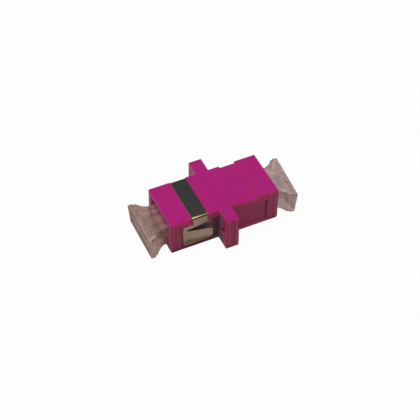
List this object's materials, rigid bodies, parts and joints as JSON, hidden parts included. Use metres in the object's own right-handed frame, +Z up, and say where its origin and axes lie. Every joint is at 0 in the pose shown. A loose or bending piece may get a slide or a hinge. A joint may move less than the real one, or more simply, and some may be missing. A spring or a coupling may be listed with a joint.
{
  "type": "simplex fibre adapter",
  "caption": "Simplex fibre adapter with a flanged, welded housing, a sprung steel panel clip, a split alignment sleeve and translucent dust caps in its ports.",
  "frame": {"origin": "middle of the alignment sleeve, on the fibre axis, in the plane where the housing halves meet", "axes": "+X along the fibre axis towards the end without the clip, +Y across the panel, +Z up towards the clip's band"},
  "size_m": [0.0387, 0.0212, 0.0092],
  "materials": {
    "housing": "smooth moulded violet plastic with a low sheen",
    "insert": "natural off-white moulded plastic",
    "sleeve": "ground white ceramic",
    "clip": "rolled spring steel strip with bright folded edges",
    "cap": "smoky translucent moulded plastic"
  },
  "bodies": {
    "adapter": {"housing_half_left": "housing", "housing_half_right": "housing", "latch_insert_left": "insert", "latch_insert_right": "insert", "alignment_sleeve": "sleeve", "panel_clip": "clip"},
    "cap_left": {"dust_cap_left": "cap"},
    "cap_right": {"dust_cap_right": "cap"}
  },
  "joints": [
    {"name": "cap_left_pull", "type": "slide", "parent": "adapter", "child": "cap_left", "axis": [-1, 0, 0], "range_m": [0, 0.01]},
    {"name": "cap_right_pull", "type": "slide", "parent": "adapter", "child": "cap_right", "axis": [1, 0, 0], "range_m": [0, 0.01]}
  ]
}
